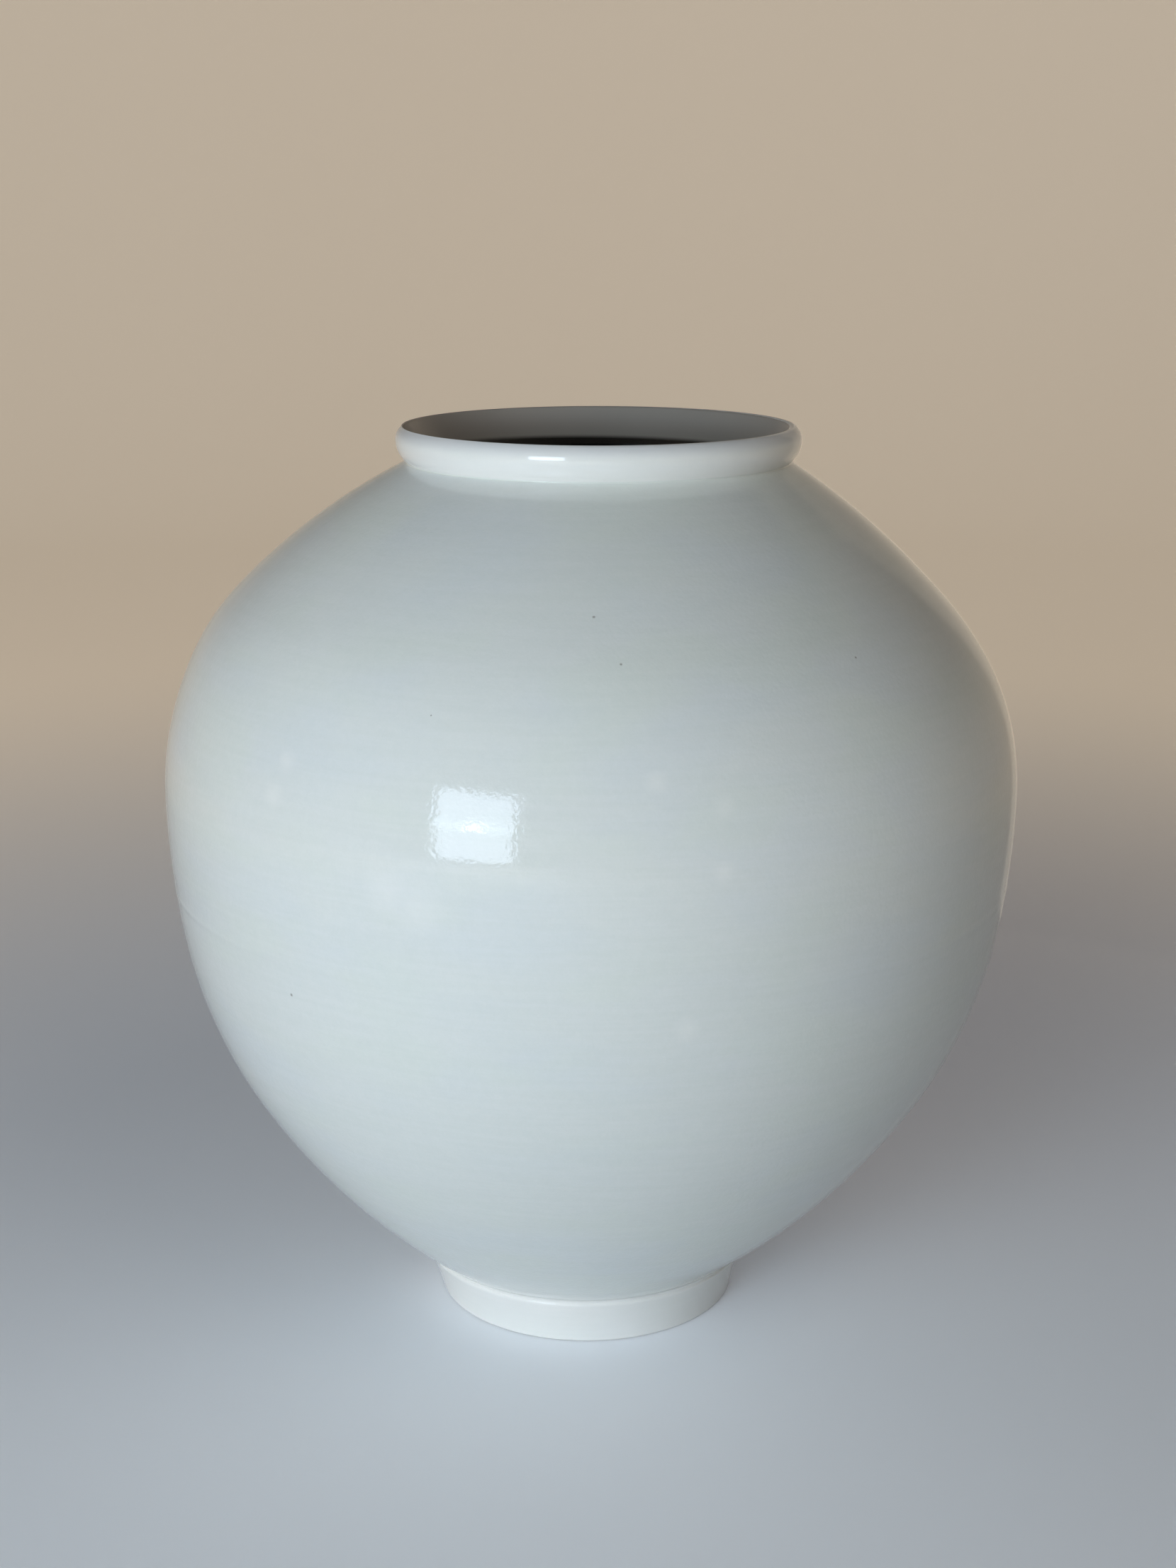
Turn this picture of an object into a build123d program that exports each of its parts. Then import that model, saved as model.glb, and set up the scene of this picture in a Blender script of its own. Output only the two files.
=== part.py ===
from build123d import *
from math import asin, degrees, sqrt
import os

# Korean moon jar: two thrown bowls luted rim to rim at the belly, on a foot ring, under a
# flared mouth collar. Millimetres, +Z up, and the photographed side faces -Y.
# Z = 0 is the surface under the foot, and the Z axis is the axis of the upper bowl.

# Outside of the body
belly_radius = 150.0
belly_height = 195.0
foot_crease_radius = 58.5
foot_crease_height = 18.0
neck_crease_radius = 66.3
neck_crease_height = 306.8

# Points that the outline passes between the belly and each crease, as shares of the radius
# lost and of the height crossed on the way
lower_outline_shares = ((0.049, 0.2825), (0.307, 0.621))
upper_outline_shares = ((0.318, 0.5975),)

# Walls and floor of the body
wall = 6.0
haunch_wall = 7.0
floor_thickness = 10.0
floor_flat_radius = 36.0

# Belly joint: a V-shaped tongue on the upper rim in a V-shaped groove in the lower rim
seam_height = 162.0
tongue_depth = 3.0
tongue_half_width = 2.0
slip_thickness = 0.7

# Coil of clay smeared over the belly joint on the inside
coil_height = 18.0
coil_thickness = 3.0

# Foot ring
foot_outer_radius = 53.0
foot_shoulder_radius = 59.3
foot_inner_radius = 44.5
foot_edge_radius = 1.2
foot_shoulder_round = 1.4
foot_wall_hollow = 0.4
spigot_radius = 46.0
spigot_depth = 4.0
crease_tuck = 0.3

# Mouth collar
mouth_bore_radius = 60.5
collar_belly_radius = 70.0
collar_belly_rise = 8.4
collar_height = 12.5
collar_top_radius = 6.4
lip_radius = 1.2
collar_seat_depth = 1.5

# How far the jar is out of true: the lower bowl leans, and the collar sits off its centre
foot_lean = 2.4
mouth_shift = 2.7

# Cutting tools pass this far beyond what they cut
overrun = 5.0

DOWN = (0, -1)
UP = (0, 1)

# Sizes worked out from the ones above
belly = (belly_radius, belly_height)
foot_crease = (foot_crease_radius, foot_crease_height)
neck_crease = (neck_crease_radius, neck_crease_height)
underside_height = foot_crease_height - spigot_depth
floor_height = underside_height + floor_thickness
foot_top = foot_crease_height - slip_thickness
foot_bore_radius = spigot_radius + slip_thickness
collar_seat_height = neck_crease_height - collar_seat_depth
foot_shift = foot_lean * (seam_height - foot_crease_height) / seam_height
collar_base_height = collar_seat_height + slip_thickness
lip_height = neck_crease_height + collar_height


def spin(*edges):
    """Turns a closed outline, drawn as radius and height, about the Z axis."""
    return revolve(Plane.XZ * make_face(edges), Axis.Z)


def lean(shape):
    """Slides each level towards -X, more the further it lies below the belly joint."""
    share = foot_lean / seam_height
    slant = Matrix([[1, 0, share, -foot_lean], [0, 1, 0, 0], [0, 0, 1, 0]])
    return shape.transform_geometry(slant)


def between(start, end, shares):
    """The point at a share of the way from start to end, in radius and in height."""
    return tuple(a + (b - a) * share for a, b, share in zip(start, end, shares))


def tangent_arcs(points, heading):
    """Arcs through the points, each leaving in the direction in which the last one ended."""
    arcs = []
    for start, end in zip(points, points[1:]):
        arc = TangentArc(start, end, tangent=heading)
        heading = arc % 1
        arcs.append(arc)
    return arcs


def sunk(arc, depth):
    """The point at the arc's end, moved into the wall by depth."""
    along = arc % 1
    turn = 1 if along.Y > 0 else -1
    inward = Vector(-along.Y, along.X) * turn
    end = arc @ 1 + inward * depth
    return (end.X, end.Y)


def outer_outlines():
    """Outside of the body from the belly to the foot crease, and to the neck crease."""
    lower = [between(belly, foot_crease, shares) for shares in lower_outline_shares]
    upper = [between(belly, neck_crease, shares) for shares in upper_outline_shares]
    return (
        tangent_arcs([belly, *lower, foot_crease], DOWN),
        tangent_arcs([belly, *upper, neck_crease], UP),
    )


def make_body():
    """Both bowls as one hollow solid, before the joints and the mouth are cut."""
    lower, upper = outer_outlines()
    outside = spin(
        *lower,
        *upper,
        Polyline(
            neck_crease,
            (0, neck_crease_height),
            (0, 0),
            (foot_crease_radius, 0),
            foot_crease,
        ),
    )
    inner_belly = (belly_radius - wall, belly_height)
    floor_edge = (floor_flat_radius, floor_height)
    inner_lower = [inner_belly, sunk(lower[0], wall), sunk(lower[1], haunch_wall), floor_edge]
    inner_upper = [inner_belly, sunk(upper[0], wall), sunk(upper[1], wall)]
    inner_neck = inner_upper[-1]
    inside = spin(
        *tangent_arcs(inner_lower, DOWN),
        *tangent_arcs(inner_upper, UP),
        Polyline(inner_neck, (0, inner_neck[1]), (0, floor_height), floor_edge),
    )
    return outside - inside


def radius_at(arcs, height):
    """Radius at a height of the outline that these arcs follow."""
    level = Line((0, height), (belly_radius + overrun, height))
    for arc in arcs:
        touch = arc.intersect(level)
        if touch:
            return touch[0].X
    raise ValueError("the outline does not cross this height")


def tongue(middle):
    """Points of the V that the belly joint follows through the wall, from outside in."""
    return (
        (middle + tongue_half_width, seam_height),
        (middle, seam_height - tongue_depth),
        (middle - tongue_half_width, seam_height),
    )


def make_joint_tool(middle):
    """Everything below the face of the groove in the lower rim."""
    reach = belly_radius + overrun
    return spin(
        Polyline(
            (0, -overrun),
            (reach, -overrun),
            (reach, seam_height),
            *tongue(middle),
            (0, seam_height),
            close=True,
        )
    )


def make_belly_slip(outer, inner, middle):
    """Slip that fills the V between the two rims."""
    raised = [(radius, height + slip_thickness) for radius, height in tongue(middle)]
    top = seam_height + slip_thickness
    return spin(
        Polyline(
            (outer, seam_height),
            *tongue(middle),
            (inner, seam_height),
            (inner, top),
            *reversed(raised),
            (outer, top),
            close=True,
        )
    )


def make_coil(inner, neighbours):
    """Coil smeared flat over the joint on the inside of the wall."""
    low = seam_height - coil_height / 2
    high = seam_height + coil_height / 2
    outer = inner + wall / 2
    band = spin(
        ThreePointArc((inner, low), (inner - coil_thickness, seam_height), (inner, high)),
        Polyline((inner, high), (outer, high), (outer, low), (inner, low)),
    )
    for piece in neighbours:
        band -= piece
    return band


def at_foot(shape):
    """Moves a piece of the foot to where the leaning bowl has its axis at the crease."""
    return Pos(-foot_shift, 0, 0) * shape


def make_seat_tool():
    """Everything below the seat and the spigot under the lower bowl."""
    reach = foot_crease_radius + overrun
    return at_foot(
        spin(
            Polyline(
                (0, -overrun),
                (reach, -overrun),
                (reach, foot_crease_height),
                (spigot_radius, foot_crease_height),
                (spigot_radius, underside_height),
                (0, underside_height),
                close=True,
            )
        )
    )


def make_foot_ring():
    """Ring that carries the jar: bearing face below, rounded shoulder under the crease."""
    wall_low = (foot_outer_radius, foot_edge_radius)
    wall_high = (foot_shoulder_radius, foot_top - foot_shoulder_round)
    middle = between(wall_low, wall_high, (0.5, 0.5))
    blank = spin(
        ThreePointArc(wall_low, (middle[0] - foot_wall_hollow, middle[1]), wall_high),
        RadiusArc(
            wall_high,
            (foot_shoulder_radius - foot_shoulder_round, foot_top),
            -foot_shoulder_round,
        ),
        Polyline(
            (foot_shoulder_radius - foot_shoulder_round, foot_top),
            (foot_bore_radius, foot_top),
            (foot_bore_radius, underside_height),
            (foot_inner_radius, foot_edge_radius),
        ),
        RadiusArc(
            (foot_inner_radius, foot_edge_radius),
            (foot_inner_radius + foot_edge_radius, 0),
            -foot_edge_radius,
        ),
        Line(
            (foot_inner_radius + foot_edge_radius, 0),
            (foot_outer_radius - foot_edge_radius, 0),
        ),
        RadiusArc((foot_outer_radius - foot_edge_radius, 0), wall_low, -foot_edge_radius),
    )
    return at_foot(blank)


def make_foot_slip():
    """Slip between the foot ring and the bowl, over the seat and round the spigot."""
    rim = foot_crease_radius - crease_tuck
    return at_foot(
        spin(
            Polyline(
                (spigot_radius, underside_height),
                (foot_bore_radius, underside_height),
                (foot_bore_radius, foot_top),
                (rim, foot_top),
                (rim, foot_crease_height),
                (spigot_radius, foot_crease_height),
                close=True,
            )
        )
    )


def cylinder(radius, low, high):
    """Cylinder about the mouth's own axis."""
    height = high - low
    return Pos(mouth_shift, 0, low + height / 2) * Cylinder(radius, height)


def tangent_point(start, centre, radius):
    """Where the line from start touches the circle on its left side."""
    away = centre - start
    swing = degrees(asin(radius / away.length))
    length = sqrt(away.length**2 - radius**2)
    return start + away.normalized().rotate(Axis.Z, swing) * length


def make_collar(upper_bowl):
    """Flared collar with a rounded lip, bedded in the rebate round the mouth."""
    collar_belly = (collar_belly_radius, neck_crease_height + collar_belly_rise)
    top_centre = (collar_belly[0] - collar_top_radius, collar_belly[1])
    lip_centre_height = lip_height - lip_radius
    rise = lip_centre_height - top_centre[1]
    reach = collar_top_radius - lip_radius
    lip_centre = Vector(top_centre[0] + sqrt(reach**2 - rise**2), lip_centre_height)
    outward = (lip_centre - Vector(*top_centre)).normalized()
    flank = TangentArc(collar_belly, neck_crease, tangent=DOWN)
    shoulder = TangentArc(collar_belly, lip_centre + outward * lip_radius, tangent=UP)
    bore_edge = Vector(mouth_bore_radius, collar_base_height)
    lip_end = tangent_point(bore_edge, lip_centre, lip_radius)
    lip = ThreePointArc(shoulder @ 1, (lip_centre.X, lip_height), lip_end)
    blank = spin(
        flank,
        shoulder,
        lip,
        Polyline(
            lip_end,
            bore_edge,
            (neck_crease_radius, collar_base_height),
            neck_crease,
        ),
    )
    return Pos(mouth_shift, 0, 0) * blank - upper_bowl


def make_parts():
    """Every piece of the jar, by name."""
    lower, upper = outer_outlines()
    outer = radius_at([*lower, *upper], seam_height)
    inner = outer - wall
    middle = (outer + inner) / 2
    body = make_body()
    joint_tool = make_joint_tool(middle)
    lower_bowl = (lean(body) & joint_tool) - make_seat_tool()

    rebate = cylinder(neck_crease_radius, collar_seat_height, neck_crease_height + overrun)
    bore = cylinder(mouth_bore_radius, belly_height, neck_crease_height + overrun)
    upper_bowl = body - Pos(0, 0, slip_thickness) * joint_tool - rebate - bore

    belly_slip = make_belly_slip(outer, inner, middle)
    collar_slip = (
        cylinder(neck_crease_radius, collar_seat_height, collar_base_height)
        - cylinder(mouth_bore_radius, collar_seat_height - overrun, neck_crease_height)
        - upper_bowl
    )
    return {
        "foot_ring": make_foot_ring(),
        "foot_slip_joint": make_foot_slip(),
        "lower_bowl": lower_bowl,
        "belly_slip_joint": belly_slip,
        "belly_seam_coil": make_coil(inner, (lower_bowl, upper_bowl, belly_slip)),
        "upper_bowl": upper_bowl,
        "collar_slip_joint": collar_slip,
        "mouth_collar": make_collar(upper_bowl),
    }


os.makedirs("parts", exist_ok=True)
for name, piece in make_parts().items():
    export_step(piece, f"parts/{name}.step")
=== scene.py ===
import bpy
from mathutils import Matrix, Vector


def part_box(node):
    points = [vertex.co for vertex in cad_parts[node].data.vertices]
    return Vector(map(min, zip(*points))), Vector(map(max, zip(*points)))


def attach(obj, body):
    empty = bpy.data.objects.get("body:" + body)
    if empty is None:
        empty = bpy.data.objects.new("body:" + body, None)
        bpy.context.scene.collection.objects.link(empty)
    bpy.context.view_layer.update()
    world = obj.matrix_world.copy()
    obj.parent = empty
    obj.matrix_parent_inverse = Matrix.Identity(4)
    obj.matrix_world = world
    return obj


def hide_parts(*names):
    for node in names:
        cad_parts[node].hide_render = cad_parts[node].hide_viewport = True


bl_info = {
    "name": "Moon jar",
    "version": (1, 0, 0),
    "blender": (4, 5, 0),
    "location": "View3D > Sidebar > Moon jar",
    "description": "Dresses a packed moon jar in glazed skins and sets it on a pale stage",
    "category": "Add Mesh",
}

import math
from collections import namedtuple

import bpy
from bpy.props import FloatProperty, FloatVectorProperty, PointerProperty
from mathutils import Vector, noise

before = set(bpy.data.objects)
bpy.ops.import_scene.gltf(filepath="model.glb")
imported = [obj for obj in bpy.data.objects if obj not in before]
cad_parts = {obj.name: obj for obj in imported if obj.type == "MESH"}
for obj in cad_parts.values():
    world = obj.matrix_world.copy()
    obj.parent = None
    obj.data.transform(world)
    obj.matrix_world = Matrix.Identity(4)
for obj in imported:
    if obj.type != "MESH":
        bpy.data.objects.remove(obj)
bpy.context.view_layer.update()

MM = 0.001
DOWN = Vector((0, -1))
UP = Vector((0, 1))
ROUNDS = 240
OUTER_STEP = 2.5 * MM
INNER_STEP = 5 * MM
FINE_STEP = 1 * MM
SHARP_CORNER = math.radians(38)

# Where the lights are aimed, how far off they hang, and the floor point under the window light
AIM = Vector((0, 0, 0.18))
LIGHT_DISTANCE = 1.6
WINDOW_FOOT = (-0.75, -1.41, 0)

# The panel behind the jar that the right rim shows
RIM_DISTANCE = 0.45
RIM_HEIGHT = 0.25

# The camera of the photograph, as its outlines place it
CAMERA_PLACE = (0.35 * MM, -792.25 * MM, 394.72 * MM)
CAMERA_TILT = math.radians(90 - 14.414)
CAMERA_TURN = math.radians(0.098)
SENSOR_WIDTH = 36

# Panes of the window light: name, bearing and rise in degrees, width, height and brightness
WINDOW_PANES = (
    ("top", 28, 13.77, 0.56, 0.28, 0.98),
    ("middle_left", 34.5, 7.5, 0.22, 0.07, 1.35),
    ("middle", 28, 7.5, 0.14, 0.07, 2.6),
    ("middle_right", 21.5, 7.5, 0.22, 0.07, 1.35),
    ("bottom", 28, 1.23, 0.54, 0.28, 0.95),
)

# Boxes that the frame gives
UPPER_LOW, UPPER_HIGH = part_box("upper_bowl")
LOWER_LOW, LOWER_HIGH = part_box("lower_bowl")
COLLAR_LOW, COLLAR_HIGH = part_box("mouth_collar")
_, FOOT_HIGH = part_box("foot_ring")
SLIP_LOW, SLIP_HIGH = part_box("belly_slip_joint")
COIL_LOW, COIL_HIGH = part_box("belly_seam_coil")

# Points that the outline passes between the belly and each crease, as shares of the radius
# lost and of the height crossed on the way
LOWER_SHARES = ((0.049, 0.2825), (0.307, 0.621))
UPPER_SHARES = ((0.315, 0.5975),)


def half_width(low, high):
    """Half the width of a box."""
    return (high.x - low.x) / 2


def size(name, description, default):
    """A size that a user may change, in metres."""
    return FloatProperty(
        name=name, description=description, default=default, unit="LENGTH", precision=5
    )


def amount(name, description, default):
    """A plain number that a user may change."""
    return FloatProperty(name=name, description=description, default=default, min=0)


def colour(name, description, default):
    """A colour that a user may change, in linear light."""
    return FloatVectorProperty(
        name=name, description=description, default=default, subtype="COLOR", min=0, max=1
    )


class MoonJarForm(bpy.types.PropertyGroup):
    """Sizes of the jar."""

    belly_radius: size("Belly radius", "Widest radius", half_width(UPPER_LOW, UPPER_HIGH))
    belly_height: size("Belly height", "Where the jar is widest", 195 * MM)
    neck_radius: size("Neck crease radius", "Where the collar meets the shoulder", 66.3 * MM)
    neck_height: size("Neck crease height", "Height of that crease", UPPER_HIGH.z)
    foot_radius: size("Foot crease radius", "Where the bowl meets the foot ring", 58.5 * MM)
    foot_height: size("Foot crease height", "Height of that crease", 18 * MM)
    wall: size("Wall", "Thickness of the walls", 6 * MM)
    haunch_wall: size("Haunch wall", "Thickness low in the lower bowl", 7 * MM)
    floor_height: size("Floor height", "Inside floor of the jar", 24 * MM)
    floor_radius: size("Floor radius", "Flat part of the inside floor", 36 * MM)
    seam_height: size("Seam height", "Where the two bowls are joined", LOWER_HIGH.z)
    slip: size("Slip", "Thickness of the slip in the joints", SLIP_HIGH.z - LOWER_HIGH.z)
    tongue_depth: size("Tongue depth", "Depth of the V in the joint", LOWER_HIGH.z - SLIP_LOW.z)
    tongue_width: size("Tongue half width", "Half the width of that V", 2 * MM)
    underside: size("Underside height", "Bottom of the lower bowl", LOWER_LOW.z)
    spigot_radius: size("Spigot radius", "Boss that the ring fits round", 46 * MM)
    ring_radius: size("Ring radius", "Shoulder of the foot ring", 58.9 * MM)
    ring_top: size("Ring top", "Top of the foot ring", FOOT_HIGH.z)
    ring_low_radius: size("Ring low radius", "Outside of the ring at the bottom", 54.3 * MM)
    ring_bore_radius: size("Ring bore", "Inside of the ring at the bottom", 44.5 * MM)
    ring_seat_radius: size("Ring seat", "Bore that takes the spigot", 46.7 * MM)
    ring_edge: size("Ring edge", "Rounding of the bearing face", 1.2 * MM)
    ring_shoulder: size("Ring shoulder", "Rounding of the ledge under the crease", 1.1 * MM)
    ring_hollow: size("Ring hollow", "How far the ring's wall curves in", 0.4 * MM)
    mouth_radius: size("Mouth radius", "Bore of the mouth", 60.5 * MM)
    collar_radius: size("Collar radius", "Widest radius", half_width(COLLAR_LOW, COLLAR_HIGH))
    collar_rise: size("Collar rise", "Height of that radius over the crease", 7.8 * MM)
    collar_base: size("Collar base", "Underside of the collar", COLLAR_LOW.z)
    collar_round: size("Collar round", "Radius of the collar's upper curve", 5.8 * MM)
    lip_height: size("Lip height", "Top of the jar", COLLAR_HIGH.z)
    lip_radius: size("Lip radius", "Rounding of the lip", 1.2 * MM)
    coil_bulge: size("Coil bulge", "How far the seam coil stands off the wall", 3 * MM)
    foot_lean: size("Foot lean", "How far the foot sits to the left", 2.9 * MM)
    ring_lean: size("Ring lean", "How far the ring's bottom comes back from there", 0.8 * MM)
    lean_height: size("Lean height", "Height below which the bowl leans", 160 * MM)
    mouth_shift: size("Mouth shift", "How far the mouth sits to the right", 2.7 * MM)
    mouth_drop: size("Mouth drop", "How far the lip slopes down to the front", 0.6 * MM)
    bore_shift: size("Bore shift", "How far the lip's inside sits to the left", 1.2 * MM)
    shoulder_sway: size("Shoulder sway", "How far the shoulder sits to the left", 1.65 * MM)
    sway_height: size("Sway height", "Where the shoulder sways most", 262 * MM)
    sway_reach: size("Sway reach", "Height over which the sway fades", 24 * MM)
    outer_ridge: size("Outer ridges", "Depth of the throwing rings outside", 0.05 * MM)
    inner_ridge: size("Inner ridges", "Depth of the throwing rings inside", 0.3 * MM)
    ridge_pitch: size("Ridge pitch", "Rise of the throwing spiral in a turn", 11 * MM)
    seam_ridge: size("Seam ridge", "Height of the ridge over the seam", 0.11 * MM)
    seam_width: size("Seam half width", "Half the width of that ridge", 1.2 * MM)
    neck_glaze: size("Neck glaze", "Glaze gathered in the neck crease", 0.55 * MM)
    foot_glaze: size("Foot glaze", "Glaze gathered in the foot crease", 1.6 * MM)


class MoonJarGlaze(bpy.types.PropertyGroup):
    """Colours and textures of the glazes and the clay, and the painted light and shade on them."""

    body: colour("Body glaze", "Blue-white glaze on the body", (0.745, 0.78, 0.77))
    # Also the painted reflection of the foot ledge just above the foot crease
    collar: colour("Collar glaze", "Whiter glaze on the collar", (0.86, 0.88, 0.865))
    # The foot glaze is whiter partly as painted light, standing in for the floor's light on the ring
    foot: colour("Foot glaze", "Whiter glaze on the foot ring", (0.945, 0.935, 0.91))
    cool: colour("Cool patches", "Where the glaze is thick and blue", (0.715, 0.765, 0.79))
    green: colour("Green patches", "Where the glaze is thick and green", (0.735, 0.785, 0.745))
    # Also painted light low on the collar's flank
    thin: colour("Thin glaze", "Where the glaze runs thin over an edge", (0.93, 0.93, 0.91))
    pooled: colour("Pooled glaze", "Where the glaze gathers in a crease", (0.62, 0.68, 0.64))
    clay: colour("Bare clay", "Unglazed clay under the foot", (0.74, 0.69, 0.61))
    slip: colour("Slip", "Slip in the joints", (0.78, 0.76, 0.71))
    iron: colour("Iron specks", "Specks of iron in the clay", (0.16, 0.13, 0.10))
    # Painted shade over the lip's upward faces
    lip: colour("Lip glaze", "Greyer glaze over the lip", (0.72, 0.735, 0.755))
    # Painted shade inside the jar: grey inside the lip, darker further down, and near-black below the
    # height given last
    inside_shade: colour("Lining", "Grey liner glaze inside the lip", (0.375, 0.345, 0.315))
    inside_low_shade: colour("Low lining", "The same further down", (0.245, 0.225, 0.205))
    deep_shade: colour("Deep lining", "Near-black liner glaze below it", (0.006, 0.006, 0.006))
    deep_shade_height: size("Lining height", "Height at which it turns black", 308.6 * MM)
    roughness: amount("Roughness", "Roughness of the glaze", 0.045)
    peel_size: size("Peel size", "Size of the dimples in the glaze", 1.4 * MM)
    peel_depth: size("Peel depth", "Depth of those dimples", 0.045 * MM)


class MoonJarStage(bpy.types.PropertyGroup):
    """Floor, lights and camera."""

    floor: colour("Floor", "Pale floor", (0.85, 0.89, 0.93))
    backdrop: colour("Backdrop", "Pale backdrop that the floor curves up into", (0.76, 0.69, 0.61))
    shade: colour("Shade", "Floor near the window light, as it is seen", (0.04, 0.04, 0.04))
    shade_reach: size("Shade reach", "How far that shade spreads", 1.15)
    floor_glow: colour("Floor glow", "Light that the floor shows but does not give", (0.08, 0.085, 0.1))
    glow: colour("Backdrop glow", "The same for the backdrop", (0.35, 0.29, 0.22))
    radius: size("Stage radius", "Flat part of the floor", 1.9)
    curve: size("Stage curve", "Radius of the curve between floor and backdrop", 0.7)
    window: amount("Window", "Power of the window light, in watts a square metre", 21.5)
    room: amount("Room light", "Power of the soft light round the window, in watts", 10.7)
    bounce: amount("Bounced light", "Power of the low warm lights on the left, in watts", 2.4)
    side: amount("Side light", "Power of the light from the right, in watts", 3.4)
    rim: amount("Rim light", "Power of the panel that the right rim shows, in watts", 0.06)
    lens: amount("Lens", "Focal length, in millimetres", 52.44)


# One ring of a turned outline: where it is, how deep the throwing rings are there, and how far
# it is off centre
Row = namedtuple("Row", "radius height ridge shift", defaults=(0, 0))


class Arc:
    """A circular arc that leaves its start in a given direction and passes through its end."""

    def __init__(self, start, end, heading):
        self.start = Vector(start)
        self.end = Vector(end)
        self.heading = Vector(heading).normalized()
        self.left = Vector((-self.heading.y, self.heading.x))
        chord = self.end - self.start
        self.turn = 2 * math.atan2(chord.dot(self.left), chord.dot(self.heading))
        self.radius = chord.length / (2 * math.sin(self.turn / 2))

    def at(self, part):
        """The point at a share of the way along."""
        angle = self.turn * part
        along = self.heading * math.sin(angle) + self.left * (1 - math.cos(angle))
        return self.start + along * self.radius

    def direction(self, part):
        """Which way the arc runs at a share of the way along."""
        angle = self.turn * part
        return self.heading * math.cos(angle) + self.left * math.sin(angle)

    def points(self, spacing):
        """Points along the arc about this far apart, both ends included."""
        steps = max(2, round(abs(self.radius * self.turn) / spacing))
        return [self.at(step / steps) for step in range(steps + 1)]


def chain(points, heading):
    """Arcs through the points, each tangent to the one before it."""
    arcs = []
    for start, end in zip(points, points[1:]):
        arcs.append(Arc(start, end, heading))
        heading = arcs[-1].direction(1)
    return arcs


def along(arcs, spacing):
    """Points along several arcs, without repeats."""
    points = [arcs[0].start]
    for arc in arcs:
        points += arc.points(spacing)[1:]
    return points


def sunk(arc, depth):
    """The arc's end moved into the wall."""
    way = arc.direction(1)
    side = 1 if way.y > 0 else -1
    return arc.end + Vector((-way.y, way.x)) * side * depth


def between(start, end, shares):
    """The point at a share of the way from start to end, in radius and in height."""
    return Vector([a + (b - a) * part for a, b, part in zip(start, end, shares)])


def outer_arcs(form):
    """Outside of the body: arcs from the belly to the foot crease and to the neck crease."""
    belly = Vector((form.belly_radius, form.belly_height))
    foot = Vector((form.foot_radius, form.foot_height))
    neck = Vector((form.neck_radius, form.neck_height))
    lower = [between(belly, foot, shares) for shares in LOWER_SHARES]
    upper = [between(belly, neck, shares) for shares in UPPER_SHARES]
    return chain([belly, *lower, foot], DOWN), chain([belly, *upper, neck], UP)


def inner_arcs(form):
    """Inside of the body: arcs from the belly to the floor and to the mouth."""
    lower, upper = outer_arcs(form)
    belly = Vector((form.belly_radius - form.wall, form.belly_height))
    floor = Vector((form.floor_radius, form.floor_height))
    down = [belly, sunk(lower[0], form.wall), sunk(lower[1], form.haunch_wall), floor]
    up = [belly, sunk(upper[0], form.wall), sunk(upper[1], form.wall)]
    return chain(down, DOWN), chain(up, UP)


def clipped(points, low, high):
    """The stretch of a line of points between two heights, from the top down."""
    kept = [point for point in points if low < point.y < high]
    for cut in (low, high):
        for start, end in zip(points, points[1:]):
            if (start.y - cut) * (end.y - cut) <= 0 and start.y != end.y:
                kept.append(start.lerp(end, (cut - start.y) / (end.y - start.y)))
                break
    return sorted(kept, key=lambda point: -point.y)


def plain(*points):
    """Rows without throwing rings."""
    return [Row(radius, height) for radius, height in points]


def thrown(points, ridge):
    """Rows with throwing rings."""
    return [Row(radius, height, ridge) for radius, height in points]


def outer_skin(form, low, high):
    """Outside of the body between two heights, from the bottom up, raised a little at the seam."""
    lower, upper = outer_arcs(form)
    points = along(lower, OUTER_STEP)[::-1] + along(upper, OUTER_STEP)[1:]
    middle = form.seam_height + form.slip / 2
    reach = form.seam_width * 2.5
    near_seam = clipped(along(lower, FINE_STEP / 2), middle - reach, middle + reach)[::-1]
    below = [point for point in points if point.y < near_seam[0].y]
    above = [point for point in points if point.y > near_seam[-1].y]
    skin = []
    for radius, height in clipped(below + near_seam + above, low, high)[::-1]:
        away = (height - middle) / form.seam_width
        skin.append((radius + form.seam_ridge * math.exp(-away * away), height))
    return thrown(skin, form.outer_ridge)


def inner_skin(form, low, high):
    """Inside of the body between two heights, from the top down."""
    lower, upper = inner_arcs(form)
    points = along(lower, INNER_STEP)[::-1] + along(upper, INNER_STEP)[1:]
    return thrown(clipped(points, low, high), form.inner_ridge)


def tongue(form, height):
    """The V of the belly joint through the wall at a height, from outside in."""
    lower, _ = outer_arcs(form)
    outer = clipped(along(lower, OUTER_STEP), form.seam_height, form.belly_height)[-1].x
    middle = outer - form.wall / 2
    return plain(
        (middle + form.tongue_width, height),
        (middle, height - form.tongue_depth),
        (middle - form.tongue_width, height),
    )


def fillet(corner, start, end, steps=6):
    """Curve from a point on one side of a corner to a point on the other."""
    curve = []
    for step in range(steps + 1):
        part = step / steps
        curve.append(start * (1 - part) ** 2 + corner * 2 * part * (1 - part) + end * part**2)
    return curve


def rounding(centre, radius, start, end, steps=7):
    """Points on a circle from one angle to another, in degrees."""
    turns = [math.radians(start + (end - start) * step / steps) for step in range(steps + 1)]
    return [centre + Vector((math.cos(turn), math.sin(turn))) * radius for turn in turns]


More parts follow.
